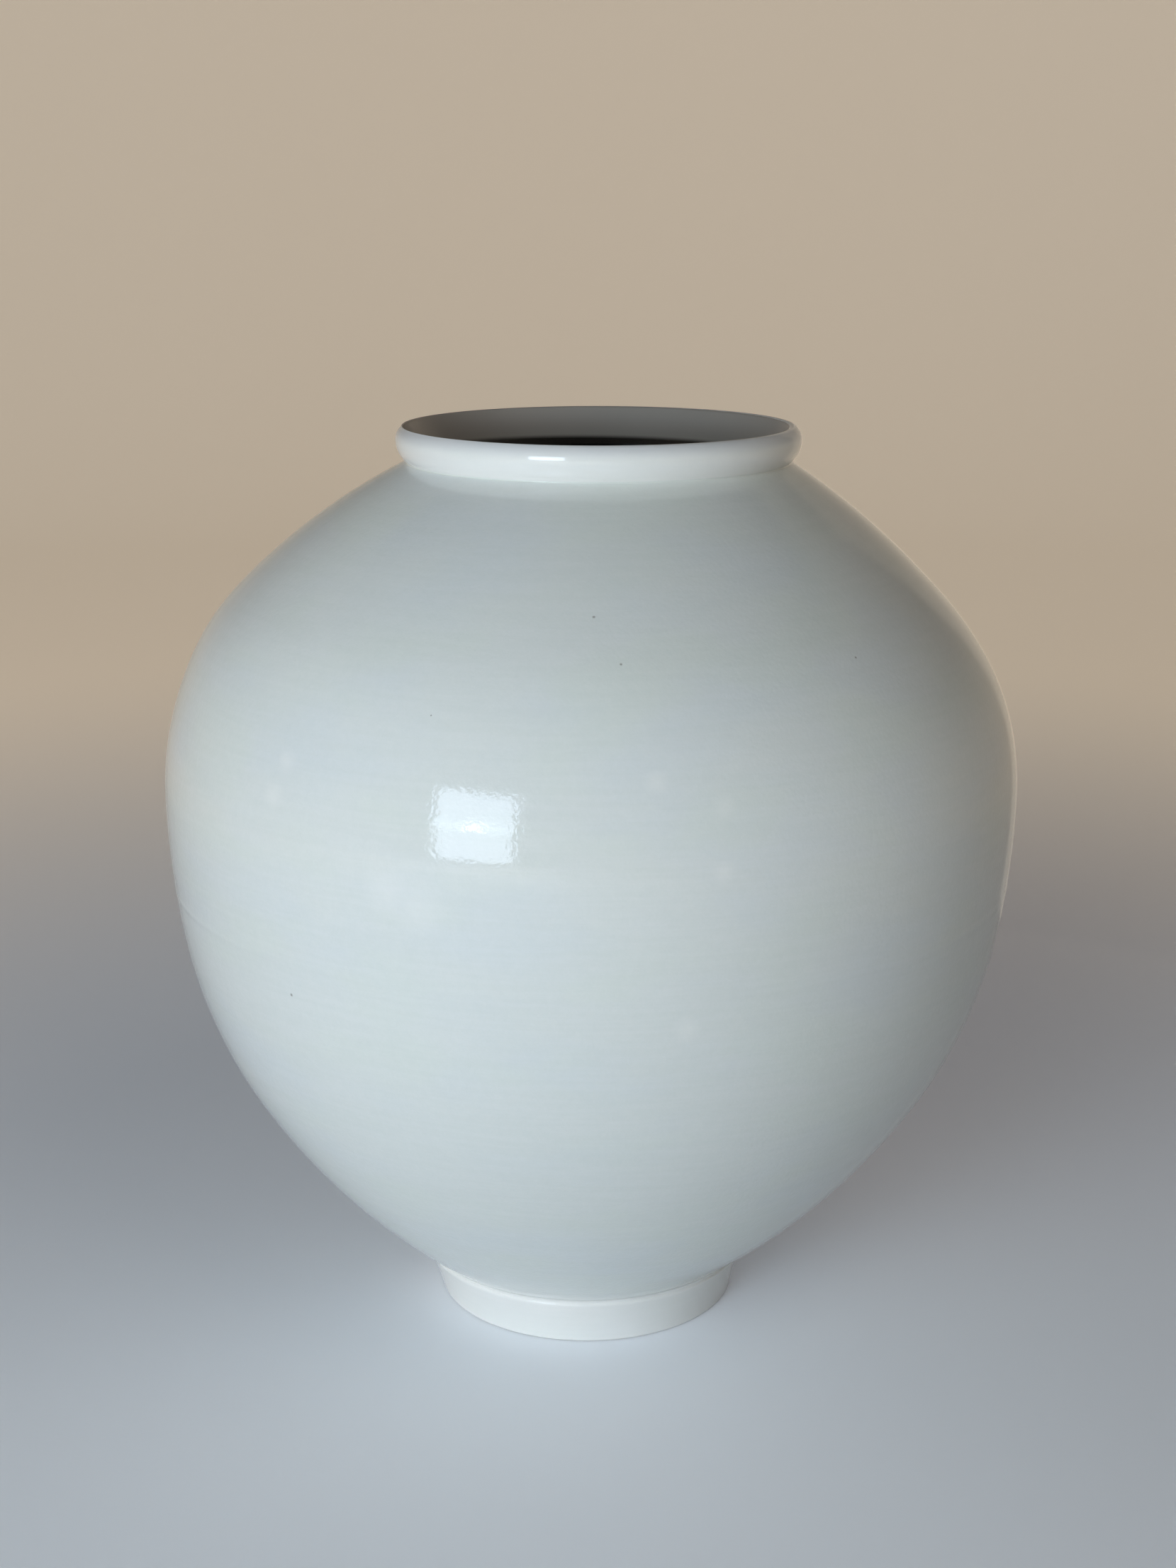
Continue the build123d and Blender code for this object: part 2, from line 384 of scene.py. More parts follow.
def foot_ring_rows(form):
    """Outline of the foot ring, with the glaze gathered in the crease above its ledge."""
    edge = form.ring_edge
    inner_edge = Vector((form.ring_bore_radius + edge, edge))
    outer_edge = Vector((form.ring_low_radius - edge, edge))
    low = Vector((form.ring_low_radius, edge))
    high = Vector((form.ring_radius, form.ring_top - form.ring_shoulder))
    hollow = (low + high) / 2 - Vector((form.ring_hollow, 0))
    wall = Arc(hollow, high, high - low).points(FINE_STEP)
    wall_below = Arc(hollow, low, low - high).points(FINE_STEP)[::-1]
    ledge = rounding(high - Vector((form.ring_shoulder, 0)), form.ring_shoulder, 0, 50)
    lower, _ = outer_arcs(form)
    crease = Vector((form.foot_radius, form.foot_height))
    up_bowl = lower[-1].direction(1) * -1
    gathered = fillet(crease, ledge[-1], crease + up_bowl * form.foot_glaze)
    return (
        plain(*rounding(outer_edge, edge, -90, 0))
        + plain(*wall_below[1:], *wall[1:], *ledge[1:], *gathered[1:])
        + plain((form.ring_seat_radius, form.foot_height))
        + plain((form.ring_seat_radius, form.underside))
        + plain(*rounding(inner_edge, edge, 180, 270))
    )


def lower_bowl_rows(form):
    """Outline of the lower bowl, from the middle of its underside to the middle of its floor."""
    return (
        plain((0, form.underside), (form.spigot_radius, form.underside))
        + plain((form.spigot_radius, form.foot_height))
        + outer_skin(form, form.foot_height, form.seam_height)
        + tongue(form, form.seam_height)
        + inner_skin(form, form.floor_height, form.seam_height)
        + plain((form.floor_radius / 2, form.floor_height), (0, form.floor_height))
    )


def belly_joint_rows(form):
    """Outline of the slip between the bowls: the same V at the bottom and at the top."""
    top = form.seam_height + form.slip
    return (
        outer_skin(form, form.seam_height, top)
        + tongue(form, top)
        + inner_skin(form, form.seam_height, top)
        + tongue(form, form.seam_height)[::-1]
    )


def collar_joint_rows(form):
    """Outline of the slip under the collar."""
    low = form.collar_base - form.slip
    inner, outer = form.mouth_radius, form.neck_radius
    return plain((outer, low), (outer, form.collar_base), (inner, form.collar_base), (inner, low))


def seam_coil_rows(form):
    """Outline of the coil smeared over the belly joint inside."""
    lower, upper = inner_arcs(form)
    inside = along(lower, INNER_STEP)[::-1] + along(upper, INNER_STEP)[1:]
    wall = clipped(inside, COIL_LOW.z, COIL_HIGH.z)
    top, bottom = wall[0], wall[-1]
    middle = (top + bottom) / 2 - Vector((form.coil_bulge, 0))
    across = (top - bottom).normalized()
    upper_half = Arc(middle, top, across).points(FINE_STEP)[::-1]
    lower_half = Arc(middle, bottom, across * -1).points(FINE_STEP)
    back = Vector((form.slip, 0))
    return (
        plain(bottom + back, (top + bottom) / 2 + back, top + back)
        + thrown(upper_half + lower_half[1:], form.inner_ridge)
    )


def upper_bowl_rows(form):
    """Outline of the upper bowl, with the rebate that takes the collar."""
    low = form.seam_height + form.slip
    seat = form.collar_base - form.slip
    _, inside = inner_arcs(form)
    ceiling = inside[-1].end
    return (
        outer_skin(form, low, form.neck_height)
        + plain((form.neck_radius, seat), (form.mouth_radius, seat))
        + plain((form.mouth_radius, ceiling.y + form.lip_radius))
        + inner_skin(form, low, ceiling.y)
        + tongue(form, low)[::-1]
    )


def mouth_collar_rows(form):
    """Outline of the collar, with the glaze gathered in the crease below it."""
    crease = Vector((form.neck_radius, form.neck_height))
    belly = crease + Vector((form.collar_radius - form.neck_radius, form.collar_rise))
    top_centre = belly - Vector((form.collar_round, 0))
    lip_height = form.lip_height - form.lip_radius
    reach = form.collar_round - form.lip_radius
    across = math.sqrt(reach**2 - (lip_height - top_centre.y) ** 2)
    lip_centre = Vector((top_centre.x + across, lip_height))
    outward = (lip_centre - top_centre).normalized()
    flank = Arc(belly, crease, DOWN)
    shoulder = Arc(belly, lip_centre + outward * form.lip_radius, UP)
    bore = Vector((form.mouth_radius, form.collar_base))
    away = lip_centre - bore
    swing = math.degrees(math.asin(form.lip_radius / away.length))
    start = math.degrees(math.atan2(outward.y, outward.x))
    end = math.degrees(math.atan2(away.y, away.x)) + swing + 90
    lip = rounding(lip_centre, form.lip_radius, start, end, 10)
    _, upper = outer_arcs(form)
    down_bowl = upper[-1].direction(1) * -1
    up_flank = flank.direction(1) * -1
    reach = form.neck_glaze
    gathered = fillet(crease, crease + down_bowl * reach, crease + up_flank * reach)
    wall = [point for point in flank.points(FINE_STEP)[::-1] if point.y > gathered[-1].y]
    turn = [
        Row(radius, height, 0, -form.bore_shift * (step + 1) / (len(lip) - 1))
        for step, (radius, height) in enumerate(lip[1:])
    ]
    return (
        plain((form.neck_radius, form.collar_base))
        + plain(*gathered, *wall, *shoulder.points(FINE_STEP / 2)[1:])
        + turn
        + [Row(*(lip[-1] + bore) / 2, 0, -form.bore_shift / 2), Row(*bore)]
    )


def axis_at(form, height):
    """How far the jar's axis wanders along X: foot left, shoulder left, mouth right."""
    low = max(0, 1 - max(height, form.foot_height) / form.lean_height)
    ring = max(0, 1 - height / form.foot_height)
    sway = math.exp(-(((height - form.sway_height) / form.sway_reach) ** 2))
    start = form.sway_height + form.sway_reach / 2
    high = min(1, max(0, (height - start) / (form.neck_height - start)))
    right = form.mouth_shift * high**3 + form.ring_lean * ring
    return right - form.foot_lean * low**2 - form.shoulder_sway * sway


def ridge_at(form, angle, height):
    """The throwing spiral, -1 in its grooves and 0 on its ridges, uneven as a hand leaves it."""
    spot = Vector((math.cos(angle), math.sin(angle), height / form.ridge_pitch / 3))
    turns = height / form.ridge_pitch - angle / math.tau + noise.noise(spot)
    strength = 0.5 + 0.5 * noise.noise(spot * 2 + Vector((5, 5, 5)))
    return (math.sin(math.tau * turns) - 1) / 2 * strength


def turned(name, form, rows, closed=True):
    """A solid turned about the jar's wandering axis from the rows of its outline."""
    vertices = []
    rings = []
    for row in rows:
        centre = axis_at(form, row.height) + row.shift
        collar_share = (row.height - form.neck_height) / (form.lip_height - form.neck_height)
        drop = form.mouth_drop / 2 * max(0, collar_share)
        if row.radius == 0:
            rings.append([len(vertices)])
            vertices.append((centre, 0, row.height))
            continue
        rings.append(range(len(vertices), len(vertices) + ROUNDS))
        for step in range(ROUNDS):
            angle = math.tau * step / ROUNDS
            radius = row.radius + row.ridge * ridge_at(form, angle, row.height)
            height = row.height - drop * (1 - math.sin(angle))
            vertices.append((centre + radius * math.cos(angle), radius * math.sin(angle), height))
    pairs = list(zip(rings, rings[1:]))
    if closed:
        pairs.append((rings[-1], rings[0]))
    faces = []
    for below, above in pairs:
        for step in range(ROUNDS):
            after = (step + 1) % ROUNDS
            if len(below) == 1:
                faces.append((below[0], above[after], above[step]))
            elif len(above) == 1:
                faces.append((below[step], below[after], above[0]))
            else:
                faces.append((below[step], below[after], above[after], above[step]))
    mesh = bpy.data.meshes.new(name)
    mesh.from_pydata(vertices, [], faces)
    mesh.shade_smooth()
    mesh.set_sharp_from_angle(angle=SHARP_CORNER)
    piece = bpy.data.objects.new(name, mesh)
    bpy.context.scene.collection.objects.link(piece)
    return piece


class Wire:
    """One output of a shader node. Arithmetic on it adds Math nodes."""

    def __init__(self, shader, socket):
        self.shader = shader
        self.socket = socket

    def maths(self, operation, *values):
        """A Math node on these values."""
        return self.shader.node("Math", {"operation": operation}, dict(enumerate(values)))

    def __add__(self, other):
        return self.maths("ADD", self, other)

    def __radd__(self, other):
        return self.maths("ADD", other, self)

    def __sub__(self, other):
        return self.maths("SUBTRACT", self, other)

    def __rsub__(self, other):
        return self.maths("SUBTRACT", other, self)

    def __mul__(self, other):
        return self.maths("MULTIPLY", self, other)

    def or_more(self, other):
        """The larger of two values."""
        return self.maths("MAXIMUM", self, other)

    def ramp(self, low, high):
        """0 up to low and 1 from high on, smooth between."""
        settings = {"interpolation_type": "SMOOTHSTEP"}
        return self.shader.node("MapRange", settings, {0: self, 1: low, 2: high})


class Shader:
    """A material whose nodes are added one call at a time."""

    def __init__(self, name):
        self.material = bpy.data.materials.new(name)
        self.material.use_nodes = True
        self.tree = self.material.node_tree
        self.tree.nodes.clear()

    def node(self, kind, settings=None, inputs=None, output=0):
        """Adds a node: its settings first, then the values or links of its sockets."""
        made = self.tree.nodes.new("ShaderNode" + kind)
        for name, value in (settings or {}).items():
            setattr(made, name, value)
        for name, value in (inputs or {}).items():
            if isinstance(value, Wire):
                self.tree.links.new(value.socket, made.inputs[name])
            else:
                made.inputs[name].default_value = value
        return Wire(self, made.outputs[output])

    def place(self):
        """Position on the jar, in metres."""
        return self.node("TexCoord", output=3)

    def stretched(self, place, factors, shift=(0, 0, 0)):
        """A position scaled and moved, so that a pattern on it changes its form and place."""
        settings = {"operation": "MULTIPLY_ADD"}
        return self.node("VectorMath", settings, {0: place, 1: factors, 2: shift})

    def height(self, place):
        """Height above the floor."""
        return self.node("SeparateXYZ", {}, {0: place}, output=2)

    def clouds(self, place, grain, detail=1):
        """Soft random values from 0 to 1 whose patches are about one grain across."""
        inputs = {"Vector": place, "Scale": 1 / grain, "Detail": detail}
        return self.node("TexNoise", {}, inputs)

    def mixed(self, first, second, share):
        """One colour blended into another."""
        first = first if isinstance(first, Wire) else (*first, 1)
        second = second if isinstance(second, Wire) else (*second, 1)
        settings = {"data_type": "RGBA"}
        return self.node("Mix", settings, {0: share, 6: first, 7: second}, output=2)

    def spot(self, place, centre, radius):
        """1 at a point of the jar, fading to 0 at a radius."""
        settings = {"operation": "DISTANCE"}
        away = self.node("VectorMath", settings, {0: place, 1: centre}, output=1)
        return 1 - away.ramp(0, radius)

    def inside(self, place, towards, least=0.0, ragged=0.0):
        """1 on faces that look towards a line or point inside the jar, 0 on those that look out."""
        normal = self.node("TexCoord", output=1)
        way = self.stretched(place, *towards)
        settings = {"operation": "DOT_PRODUCT"}
        facing = self.node("VectorMath", settings, {0: normal, 1: way}, output=1)
        edge = least + ragged / 2
        return (facing + self.clouds(place, 3 * MM) * ragged).ramp(edge, edge + 2 * MM)

    def finish(self, base, roughness, relief, **constants):
        """The surface: colour, roughness, and relief as a height in metres."""
        bump = self.node("Bump", {}, {"Height": relief, "Distance": 1.0})
        inputs = {"Base Color": base, "Roughness": roughness, "Normal": bump, **constants}
        surface = self.node("BsdfPrincipled", {}, inputs)
        output = self.tree.nodes.new("ShaderNodeOutputMaterial")
        self.tree.links.new(surface.socket, output.inputs["Surface"])
        return self.material


# Iron specks that can be seen: angle round the jar from +X, height and radius
SPECKS = (
    (-88.8, 272.2 * MM, 0.7 * MM),
    (-85.1, 260 * MM, 0.6 * MM),
    (-49.2, 256.6 * MM, 0.6 * MM),
    (-130, 151.3 * MM, 0.8 * MM),
    (-110, 245.1 * MM, 0.4 * MM),
    (62, 221 * MM, 0.9 * MM),
    (118, 143 * MM, 0.8 * MM),
    (15, 98 * MM, 0.7 * MM),
    (170, 205 * MM, 0.6 * MM),
)

# Soft light patches where the glaze ran thin, given in the same way
PATCHES = (
    (-130.1, 226.7 * MM, 5 * MM),
    (-131.5, 215.9 * MM, 6 * MM),
    (-114, 193 * MM, 11 * MM),
    (-110, 189 * MM, 12 * MM),
    (-82.2, 228.4 * MM, 5 * MM),
    (-74.3, 220.3 * MM, 5 * MM),
    (-74.7, 201.2 * MM, 5 * MM),
    (-78.6, 151.5 * MM, 6 * MM),
    (35, 212 * MM, 9 * MM),
    (84, 176 * MM, 6 * MM),
    (128, 232 * MM, 5 * MM),
    (160, 120 * MM, 8 * MM),
)


def skin_point(form, angle, height):
    """A point on the outside of the body."""
    lower, upper = outer_arcs(form)
    points = along(lower, OUTER_STEP)[::-1] + along(upper, OUTER_STEP)[1:]
    radius = clipped(points, height, form.lip_height)[-1].x
    turn = math.radians(angle)
    return (axis_at(form, height) + radius * math.cos(turn), radius * math.sin(turn), height)


def drifting(shader, look, place, base):
    """A glaze colour that drifts between blue and green, and is finely mottled."""
    wide = shader.stretched(place, (1, 1, 2.2))
    cool = shader.clouds(wide, 70 * MM, 2).ramp(0.42, 0.66)
    green = shader.clouds(shader.stretched(wide, (1, 1, 1), (3, 1, 2)), 50 * MM, 2).ramp(0.45, 0.7)
    mottle = shader.clouds(place, 3 * MM, 2).ramp(0.3, 0.7)
    streaks = shader.clouds(shader.stretched(place, (1, 1, 18)), 30 * MM, 3).ramp(0.35, 0.65)
    tint = shader.mixed(base, look.cool, cool * 0.6)
    tint = shader.mixed(tint, look.green, green * 0.6)
    tint = shader.mixed(tint, look.pooled, streaks * 0.12)
    grain = shader.clouds(place, 0.7 * MM, 2).ramp(0.3, 0.7)
    tint = shader.mixed(tint, look.pooled, grain * 0.1)
    return shader.mixed(tint, look.thin, mottle * 0.06)


def marks(shader, form, place, table):
    """1 at each of the places in a table of marks on the body, 0 away from them."""
    shares = []
    for angle, height, radius in table:
        shares.append(shader.spot(place, skin_point(form, angle, height), radius))
    most = shares[0]
    for share in shares[1:]:
        most = most.or_more(share)
    return most


def peel(shader, look, place):
    """Relief of the glaze: fine dimples, and slower waves where it ran."""
    dimples = shader.clouds(place, look.peel_size, 2) * look.peel_depth
    waves = shader.clouds(place, look.peel_size * 8, 1) * (look.peel_depth * 1.1)
    return dimples + waves


def body_glaze(form, look):
    """Blue-white glaze outside with iron specks, lighter just above the foot crease as a painted
    reflection of the foot ledge; painted shade inside.
    """
    shader = Shader("body_glaze")
    place = shader.place()
    height = shader.height(place)
    tint = drifting(shader, look, place, look.body)
    # Lighter just above the foot crease: a painted reflection of the bright foot ledge and floor
    low = 1 - height.ramp(form.foot_height, form.foot_height + 7 * MM)
    tint = shader.mixed(tint, look.collar, low * 0.6)
    seam = form.seam_height + form.slip / 2
    line = 1 - (height - seam).maths("ABSOLUTE").ramp(0, form.seam_width)
    tint = shader.mixed(tint, look.pooled, line * 0.12)
    tint = shader.mixed(tint, look.thin, marks(shader, form, place, PATCHES) * 0.25)
    specks = marks(shader, form, place, SPECKS)
    tint = shader.mixed(tint, look.iron, specks * 0.7)
    # Painted shade inside the bowls: near-black, a little lighter towards the inside floor
    inside = shader.inside(place, ((-1, -1, -1), (0, 0, form.belly_height)))
    sunk = 1 - height.ramp(form.floor_height, form.belly_height * 1.3)
    inside_shade = shader.mixed(look.deep_shade, look.inside_low_shade, sunk * 0.5)
    tint = shader.mixed(tint, inside_shade, inside)
    gloss = look.roughness + shader.clouds(place, 12 * MM) * 0.03 + inside * 0.15
    relief = peel(shader, look, place) - specks * (look.peel_depth * 2.5)
    return shader.finish(tint, gloss, relief, IOR=1.5)


def collar_glaze(form, look):
    """Whiter glaze on the collar, with painted light low on its flank, painted shade over the lip, and
    painted shade inside it.
    """
    shader = Shader("collar_glaze")
    place = shader.place()
    height = shader.height(place)
    tint = drifting(shader, look, place, look.collar)
    tint = shader.mixed(tint, look.collar, 0.6)
    # Lighter low on the flank, near the crease: painted light from the shoulder below
    flank = 1 - height.ramp(form.neck_height, form.neck_height + form.collar_rise)
    tint = shader.mixed(tint, look.thin, flank * 0.9)
    # Greyer over the lip: painted shade on its upward faces, which get little light
    lip = height.ramp(form.lip_height - 5.5 * MM, form.lip_height - 1.2 * MM)
    tint = shader.mixed(tint, look.lip, lip * 0.85)
    crease = 1 - height.ramp(form.neck_height, form.neck_height + form.neck_glaze)
    tint = shader.mixed(tint, look.pooled, crease * 0.6)
    # Painted shade inside the mouth: grey near the lip, darker further down, near-black below its
    # height
    inside = shader.inside(place, ((-1, -1, 0), (30 * MM, 0, 0)), least=16 * MM, ragged=8 * MM)
    tilt = {0: place, 1: (0.01, 0, 1)}
    level = shader.node("VectorMath", {"operation": "DOT_PRODUCT"}, tilt, output=1)
    shallow = level.ramp(look.deep_shade_height - 0.8 * MM, look.deep_shade_height + 1 * MM)
    fading = level.ramp(look.deep_shade_height, form.lip_height)
    inside_shade = shader.mixed(look.inside_low_shade, look.inside_shade, fading)
    inside_shade = shader.mixed(look.deep_shade, inside_shade, shallow)
    tint = shader.mixed(tint, inside_shade, inside)
    gloss = look.roughness + inside * 0.2
    return shader.finish(tint, gloss, peel(shader, look, place) * 0.2, IOR=1.65)


def foot_glaze(form, look):
    """Whiter glaze on the foot ring, partly painted light from the floor, wiped off the bearing face
    down to the clay.
    """
    shader = Shader("foot_glaze")
    place = shader.place()
    height = shader.height(place)
    tint = drifting(shader, look, place, look.foot)
    tint = shader.mixed(tint, look.foot, 0.6)
    crease = height.ramp(form.ring_top - 0.1 * MM, form.foot_height + 0.5 * MM)
    tint = shader.mixed(tint, look.pooled, crease * 0.15)
    wander = shader.clouds(place, 6 * MM) * (0.3 * MM)
    bare = 1 - (height - wander).ramp(0, 0.25 * MM)
    grit = shader.clouds(place, 0.5 * MM, 3)
    clay = shader.mixed(look.clay, look.iron, grit.ramp(0.62, 0.78) * 0.3)
    tint = shader.mixed(tint, clay, bare)
    gloss = look.roughness + 0.05 + bare * 0.7
    relief = peel(shader, look, place) * (1 - bare) * 0.2 + grit * bare * (0.12 * MM)
    return shader.finish(tint, gloss, relief, IOR=1.5)


def joint_slip(look):
    """Matt slip in the joints, with a fine grain."""
    shader = Shader("joint_slip")
    place = shader.place()
    grain = shader.clouds(place, 0.8 * MM, 3)
    tint = shader.mixed(look.slip, look.clay, grain.ramp(0.35, 0.7) * 0.6)
    return shader.finish(tint, 0.7 + grain * 0.2, grain * (0.08 * MM))


def smeared_clay_in_shade(form, look):
    """Clay of the seam coil under a thin glaze, with the marks of the fingers that smeared it, painted
    near-black as shade inside the jar.
    """
    shader = Shader("smeared_clay_in_shade")
    place = shader.place()
    smears = shader.clouds(shader.stretched(place, (1, 1, 5)), 22 * MM, 3)
    tint = shader.mixed(look.deep_shade, look.clay, smears.ramp(0.45, 0.8) * 0.1)
    gloss = look.roughness + smears * 0.3
    return shader.finish(tint, gloss, smears * (0.5 * MM), IOR=1.5)


def stage_paint(stage):
    """Matt pale paint on the floor and the backdrop, which glows where it is only looked at."""
    shader = Shader("stage_paint")
    place = shader.place()
    grain = shader.clouds(place, 3 * MM, 2)
    flat = shader.stretched(place, (1, 1, 0))
    reach = shader.node("VectorMath", {"operation": "LENGTH"}, {0: flat}, output=1)
    far = reach.ramp(stage.radius * 0.15, stage.radius * 0.65)
    tint = shader.mixed(stage.floor, stage.backdrop, far)
    low = 1 - shader.height(place).ramp(0, stage.curve * 1.5) * 0.8
    camera = shader.node("LightPath", output=0)
    # Painted shade over the pool of window light on the floor, for camera rays only
    glare = shader.spot(place, WINDOW_FOOT, stage.shade_reach)
    tint = shader.mixed(tint, stage.shade, camera * glare * 0.95)
    seen = camera.or_more(shader.node("LightPath", output=3) * low)
    glow = shader.mixed(stage.floor_glow, stage.glow, far)
    glow = shader.mixed((0, 0, 0), glow, seen)
    finish = {"Emission Color": glow, "Emission Strength": 1.0}
    return shader.finish(tint, 0.8 + grain * 0.1, grain * (0.05 * MM), **finish)


def settings():
    """The form, the glazes and the stage that the user has set."""
    scene = bpy.context.scene
    return scene.moon_jar_form, scene.moon_jar_glaze, scene.moon_jar_stage


def dress(piece, material, slot, *nodes):
    """Gives a piece its material and puts it in the place of its CAD nodes."""
    piece.data.materials.append(material)
    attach(piece, "root")
    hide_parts(*nodes)


def repaint(node, material):
    """Gives a CAD node that stays in sight a material."""
    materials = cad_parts[node].data.materials
    materials.clear()
    materials.append(material)


class MOONJAR_OT_foot_ring(bpy.types.Operator):
    """Turns the foot ring and glazes it down to its bare bearing face"""

    bl_idname = "moonjar.foot_ring"
    bl_label = "Foot ring"

    def execute(self, context):
        form, look, _ = settings()
        ring = turned("glazed_foot_ring", form, foot_ring_rows(form))
        dress(ring, foot_glaze(form, look), "foot_glaze", "foot_ring")
        return {"FINISHED"}


class MOONJAR_OT_bowls(bpy.types.Operator):
    """Turns the lower and the upper bowl and the slip between them, under one glaze"""

    bl_idname = "moonjar.bowls"
    bl_label = "Bowls"

    def execute(self, context):
        form, look, _ = settings()
        glaze = body_glaze(form, look)
        lower = turned("glazed_lower_bowl", form, lower_bowl_rows(form), closed=False)
        dress(lower, glaze, "body_glaze", "lower_bowl")
        joint = turned("glazed_belly_joint", form, belly_joint_rows(form))
        dress(joint, glaze, "slip", "belly_slip_joint")
        upper = turned("glazed_upper_bowl", form, upper_bowl_rows(form))
        dress(upper, glaze, "body_glaze", "upper_bowl")
        return {"FINISHED"}


class MOONJAR_OT_joints(bpy.types.Operator):
    """Turns the coil over the belly joint and the slip under the collar, and finishes the foot's"""

    bl_idname = "moonjar.joints"
    bl_label = "Joints"

    def execute(self, context):
        form, look, _ = settings()
        coil = turned("smeared_seam_coil", form, seam_coil_rows(form))
        dress(coil, smeared_clay_in_shade(form, look), "inner_clay", "belly_seam_coil")
        joint = turned("glazed_collar_joint", form, collar_joint_rows(form))
        dress(joint, body_glaze(form, look), "slip", "collar_slip_joint")
        repaint("foot_slip_joint", joint_slip(look))
        return {"FINISHED"}


class MOONJAR_OT_mouth_collar(bpy.types.Operator):
    """Turns the flared collar with its rounded lip"""

    bl_idname = "moonjar.mouth_collar"
    bl_label = "Mouth collar"

    def execute(self, context):
        form, look, _ = settings()
        collar = turned("glazed_mouth_collar", form, mouth_collar_rows(form))
        dress(collar, collar_glaze(form, look), "collar_glaze", "mouth_collar")
        return {"FINISHED"}


def lay_floor(stage):
    """A pale round floor that curves up into a backdrop far out on every side."""
    curve = rounding(Vector((stage.radius, stage.curve)), stage.curve, -90, 0, 12)
    top = curve[-1] + UP * stage.radius
    line = [Vector((0, 0)), Vector((stage.radius / 8, 0)), *curve, top]
    rounds = 96
    vertices = [(0, 0, 0)]
    for radius, height in line[1:]:
        for step in range(rounds):
            angle = math.tau * step / rounds
            vertices.append((radius * math.cos(angle), radius * math.sin(angle), height))
    faces = [(0, 1 + step, 1 + (step + 1) % rounds) for step in range(rounds)]
    for ring in range(len(line) - 2):
        base = 1 + ring * rounds
        for step in range(rounds):
            after = (step + 1) % rounds
            faces.append((base + step, base + rounds + step, base + rounds + after, base + after))
    mesh = bpy.data.meshes.new("stage_floor")
    mesh.from_pydata(vertices, [], faces)
    mesh.shade_smooth()
    floor = bpy.data.objects.new("stage_floor", mesh)
    bpy.context.scene.collection.objects.link(floor)
    floor.data.materials.append(stage_paint(stage))


def hang_light(name, bearing, rise, wide, tall, power, tint, reflected=False):
    """A soft rectangular light aimed at the jar: bearing to the left of the camera, and rise."""
    lamp = bpy.data.lights.new(name, "AREA")
    lamp.shape = "RECTANGLE"
    lamp.size = wide
    lamp.size_y = tall
    lamp.energy = power
    lamp.color = tint
    light = bpy.data.objects.new(name, lamp)
    bpy.context.scene.collection.objects.link(light)
    turn, lift = math.radians(bearing), math.radians(rise)
    flat = math.cos(lift)
    way = Vector((-math.sin(turn) * flat, -math.cos(turn) * flat, math.sin(lift)))
    light.location = AIM + way * LIGHT_DISTANCE
    light.rotation_euler = way.to_track_quat("Z", "Y").to_euler()
    light.visible_camera = False
    light.visible_glossy = reflected
    return light


def set_camera(stage):
    """The camera, where the photograph was taken from."""
    lens = bpy.data.cameras.new("photo_camera")
    lens.lens = stage.lens
    lens.sensor_width = SENSOR_WIDTH
    camera = bpy.data.objects.new("photo_camera", lens)
    camera.location = CAMERA_PLACE
    camera.rotation_euler = (CAMERA_TILT, 0, CAMERA_TURN)
    bpy.context.scene.collection.objects.link(camera)
    bpy.context.scene.camera = camera


def darken_world():
    """No light but the lamps'."""
    world = bpy.data.worlds.new("studio")
    world.use_nodes = True
    world.node_tree.nodes["Background"].inputs["Strength"].default_value = 0
    bpy.context.scene.world = world


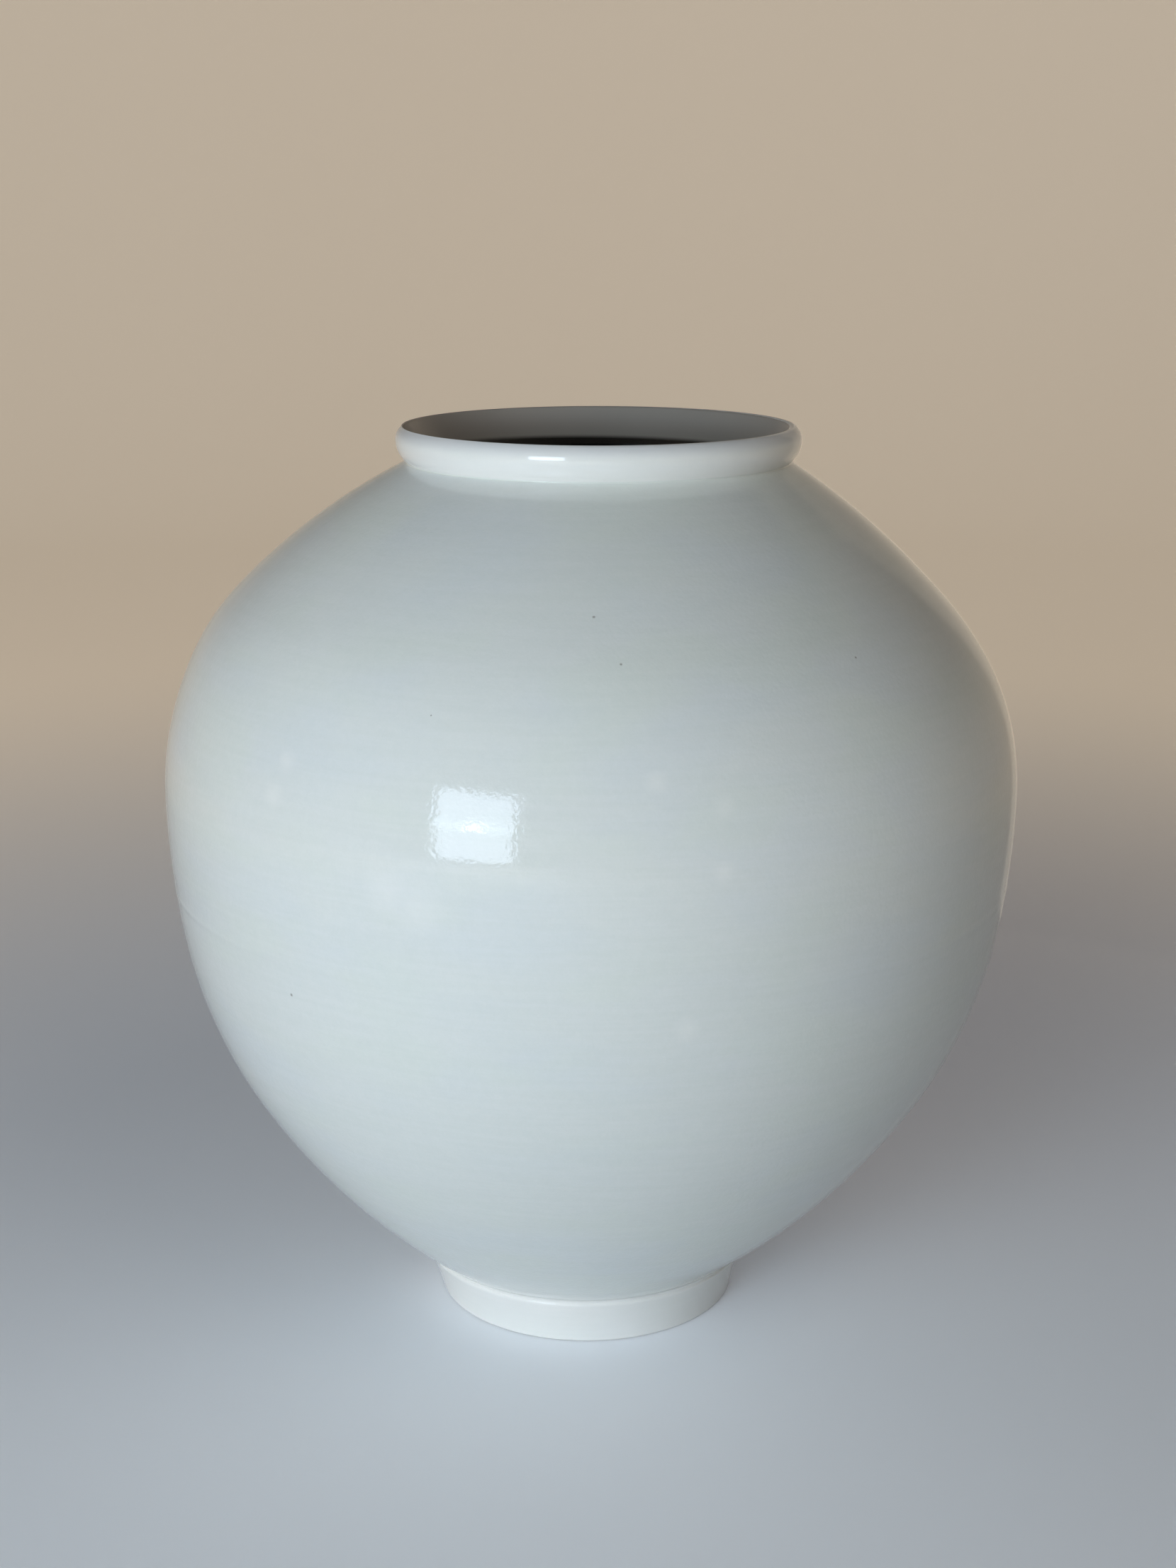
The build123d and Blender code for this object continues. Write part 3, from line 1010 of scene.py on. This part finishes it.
class MOONJAR_OT_stage(bpy.types.Operator):
    """Lays the floor, hangs the lights and sets the camera"""

    bl_idname = "moonjar.stage"
    bl_label = "Stage"

    def execute(self, context):
        _, _, stage = settings()
        lay_floor(stage)
        cool = (0.70, 0.83, 1.0)
        for pane, bearing, rise, wide, tall, bright in WINDOW_PANES:
            power = stage.window * bright * wide * tall
            hang_light(f"window_{pane}", bearing, rise, wide, tall, power, cool, reflected=True)
        warm = (1.0, 0.62, 0.38)
        hang_light("room", 29, 10, 1.2, 1.2, stage.room, (0.74, 0.92, 0.98))
        hang_light("room_low", 35, 0, 1.4, 0.35, stage.bounce, warm)
        hang_light("rear_left", 110, 12, 1.2, 0.5, stage.bounce * 0.5, warm)
        hang_light("right", -45, 45, 1.2, 1.0, stage.side, (1.0, 0.91, 0.82))
        pale = (1.0, 0.87, 0.68)
        rim = hang_light("rim", -149, 8, 0.25, 0.5, stage.rim, pale, reflected=True)
        rim.location *= RIM_DISTANCE / LIGHT_DISTANCE
        rim.location.z = RIM_HEIGHT
        rim.visible_diffuse = False
        darken_world()
        set_camera(stage)
        context.scene.view_settings.view_transform = "Standard"
        return {"FINISHED"}


class MOONJAR_PT_panel(bpy.types.Panel):
    """Sizes, glazes and steps of the moon jar"""

    bl_idname = "MOONJAR_PT_panel"
    bl_label = "Moon jar"
    bl_space_type = "VIEW_3D"
    bl_region_type = "UI"
    bl_category = "Moon jar"

    def draw(self, context):
        for step in STEPS:
            self.layout.operator(step.bl_idname)
        for group in settings():
            box = self.layout.box()
            for name in group.bl_rna.properties.keys():
                if name not in ("rna_type", "name"):
                    box.prop(group, name)


STEPS = (
    MOONJAR_OT_foot_ring,
    MOONJAR_OT_bowls,
    MOONJAR_OT_joints,
    MOONJAR_OT_mouth_collar,
    MOONJAR_OT_stage,
)
GROUPS = {
    "moon_jar_form": MoonJarForm,
    "moon_jar_glaze": MoonJarGlaze,
    "moon_jar_stage": MoonJarStage,
}


def register():
    for made in (*GROUPS.values(), *STEPS, MOONJAR_PT_panel):
        bpy.utils.register_class(made)
    for name, group in GROUPS.items():
        setattr(bpy.types.Scene, name, PointerProperty(type=group))


def unregister():
    for name in GROUPS:
        delattr(bpy.types.Scene, name)
    for made in (MOONJAR_PT_panel, *STEPS[::-1], *GROUPS.values()):
        bpy.utils.unregister_class(made)


def main():
    """Dresses the jar step by step."""
    register()
    bpy.ops.moonjar.foot_ring()
    bpy.ops.moonjar.bowls()
    bpy.ops.moonjar.joints()
    bpy.ops.moonjar.mouth_collar()
    bpy.ops.moonjar.stage()


if __name__ == "__main__":
    main()
